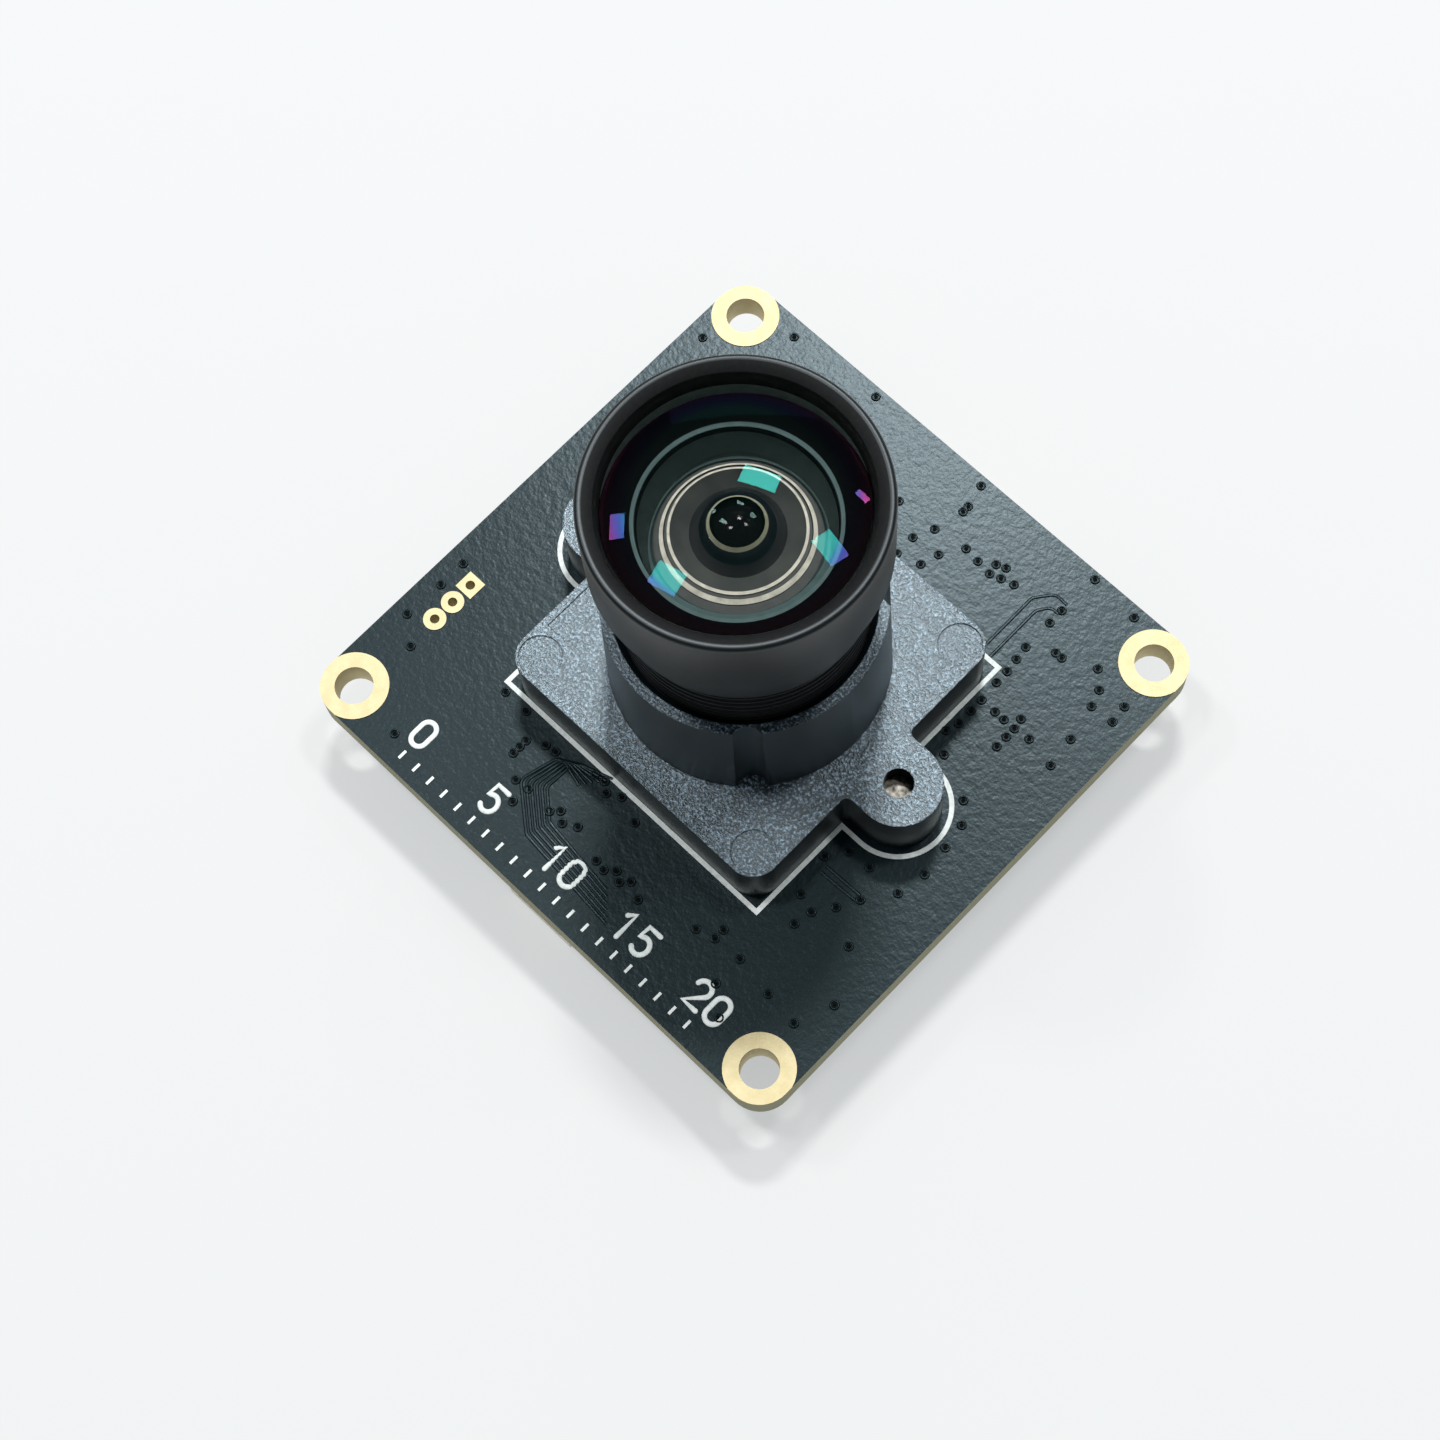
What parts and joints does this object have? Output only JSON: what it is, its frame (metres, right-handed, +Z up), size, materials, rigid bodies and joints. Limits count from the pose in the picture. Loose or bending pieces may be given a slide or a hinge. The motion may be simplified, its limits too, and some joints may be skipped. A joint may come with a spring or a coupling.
{
  "type": "board camera module",
  "caption": "Square camera circuit board with a moulded lens holder, a screw-in focusing lens, corner mounting holes and wire connectors on the underside.",
  "frame": {"origin": "on the resting plane of the two wire connectors, under the middle of the square board", "axes": "+Z up along the lens axis, out of the lens; +Y towards the edge with the wide connector; +X away from the edge with the row of header pads"},
  "size_m": [0.032, 0.032, 0.0269],
  "materials": {
    "board_laminate": "satin solder mask",
    "gilt_copper": "gold-plated, satin",
    "white_ink": "matt print",
    "moulded_nylon": "fine moulded texture",
    "screw_steel": "nickel-plated",
    "filter_glass": "coated",
    "ceramic": "fired ceramic",
    "silicon": "polished",
    "clear_glass": "polished",
    "black_anodised": "black anodised, satin",
    "coated_glass": "polished, coated against reflections",
    "blackened_spacer": "matt black",
    "ivory_nylon": "moulded",
    "contact_brass": "tinned",
    "tinned_metal": "tinned",
    "chip_epoxy": "moulded, matt",
    "lid_metal": "nickel-plated",
    "ferrite": "pressed ferrite",
    "capacitor_ceramic": "fired ceramic",
    "resistor_coat": "overglaze"
  },
  "bodies": {
    "board": {"pcb": "board_laminate", "mounting_rings": "gilt_copper", "header_pads": "gilt_copper", "outline_ink": "white_ink", "lens_holder": "moulded_nylon", "holder_screws": "screw_steel", "ir_filter": "filter_glass", "sensor_package": "ceramic", "sensor_die": "silicon", "sensor_glass": "clear_glass", "wide_connector": "ivory_nylon", "wide_contacts": "contact_brass", "narrow_connector": "ivory_nylon", "narrow_contacts": "contact_brass", "solder_tabs": "tinned_metal", "image_processor": "chip_epoxy", "processor_joints": "tinned_metal", "flash_memory": "chip_epoxy", "flash_leads": "tinned_metal", "crystal_base": "ceramic", "crystal_lid": "lid_metal", "regulators": "chip_epoxy", "regulator_leads": "tinned_metal", "power_inductor": "ferrite", "inductor_ends": "tinned_metal", "capacitors": "capacitor_ceramic", "capacitor_ends": "tinned_metal", "resistors": "resistor_coat", "resistor_ends": "tinned_metal"},
    "lens_cell": {"rear_lens": "coated_glass"},
    "lens": {"lens_barrel": "black_anodised", "front_lens": "coated_glass", "front_spacer": "blackened_spacer", "second_lens": "coated_glass", "middle_spacer": "blackened_spacer", "third_lens": "coated_glass", "aperture_stop": "blackened_spacer", "rear_spacer": "blackened_spacer"}
  },
  "joints": [
    {"name": "focus_travel", "type": "slide", "parent": "board", "child": "lens_cell", "axis": [0, 0, 1], "range_m": [-0.0005, 0.001]},
    {"name": "focus_turn", "type": "hinge", "parent": "lens_cell", "child": "lens", "pos_m": [0, 0, 0.018], "axis": [0, 0, 1], "range_deg": [-360, 720]}
  ],
  "couplings": [
    {"joint": "focus_turn", "follows": "focus_travel", "rad_per_m": 12566}
  ]
}
